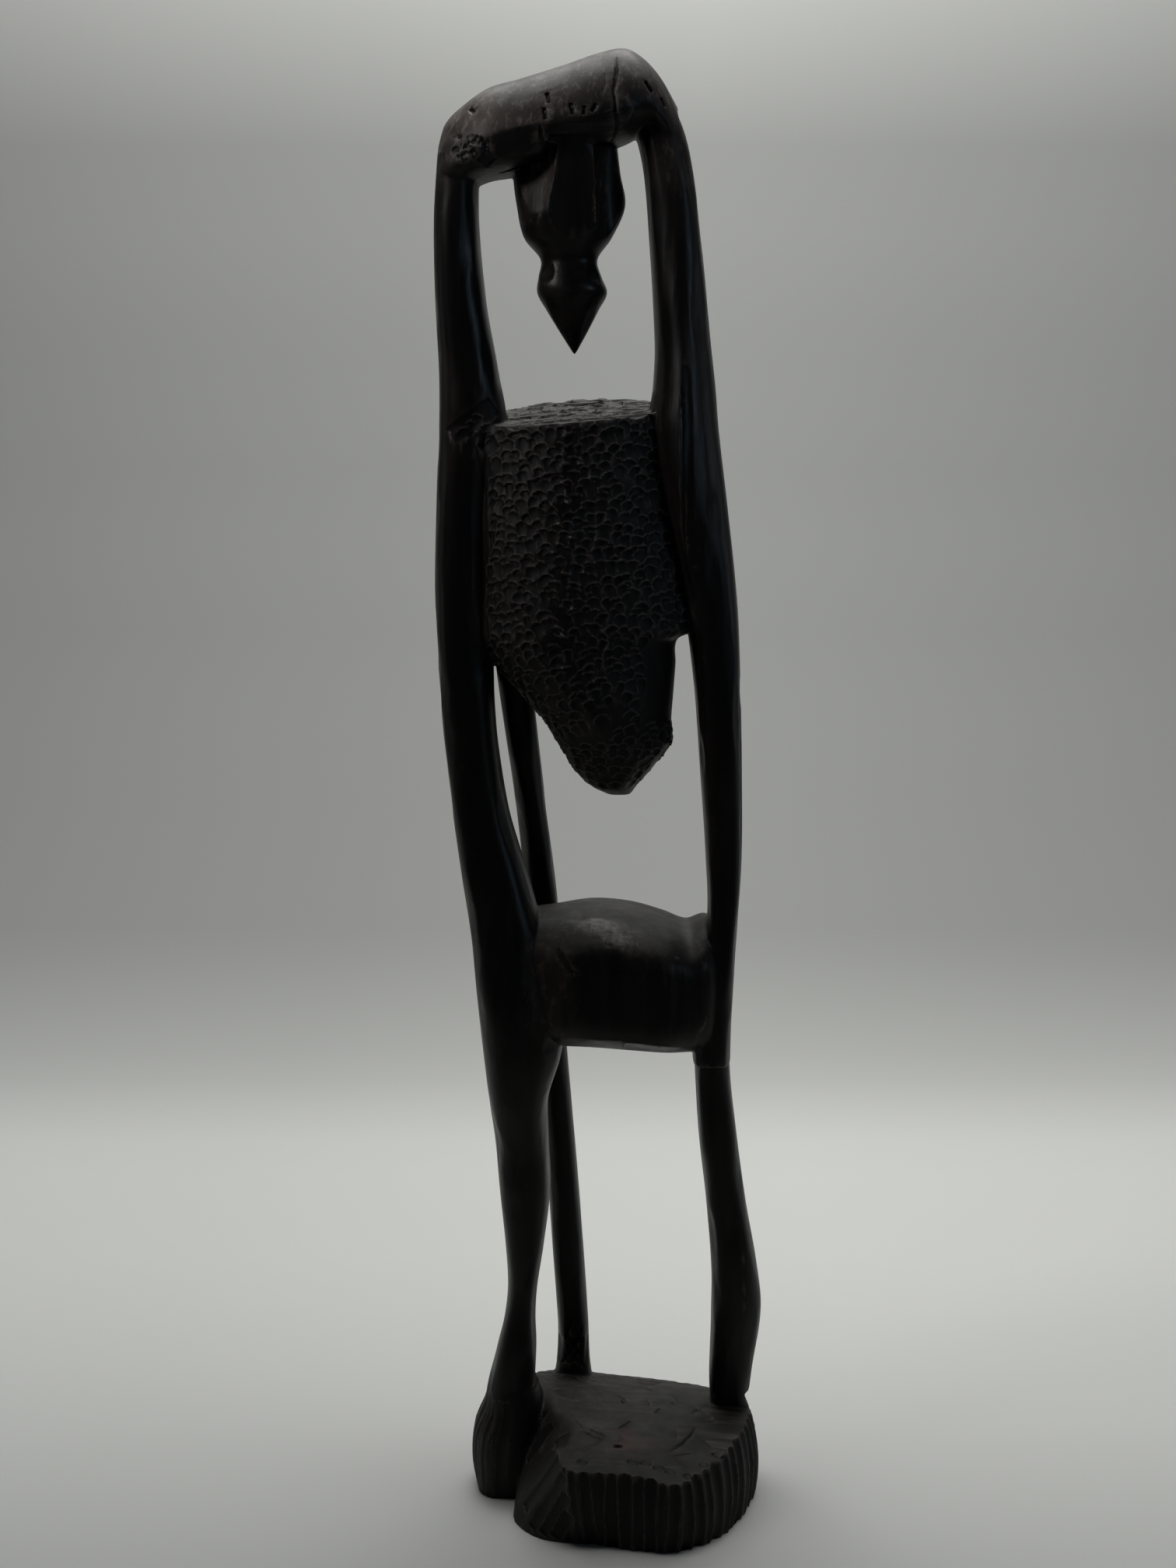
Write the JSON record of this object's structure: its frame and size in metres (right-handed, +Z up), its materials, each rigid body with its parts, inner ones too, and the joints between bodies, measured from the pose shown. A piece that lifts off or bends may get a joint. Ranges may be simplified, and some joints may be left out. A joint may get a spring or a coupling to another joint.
{
  "type": "carved openwork post figure",
  "caption": "Tall openwork abstract figure carved from one blackwood log: round gouged base, side posts, back strut, pelvis block, chip-carved torso, slanting lintel and pendant.",
  "frame": {"origin": "middle of the flat underside of the base", "axes": "+Z up along the log, +X to the viewer's right, the front faces -Y"},
  "size_m": [0.1185, 0.1086, 0.5192],
  "materials": {
    "blackwood": "dark blackwood, waxed to a satin on posts, pelvis, lintel and pendant, dull where chipped or gouged"
  },
  "bodies": {
    "root": {"carving": "blackwood"}
  },
  "joints": []
}
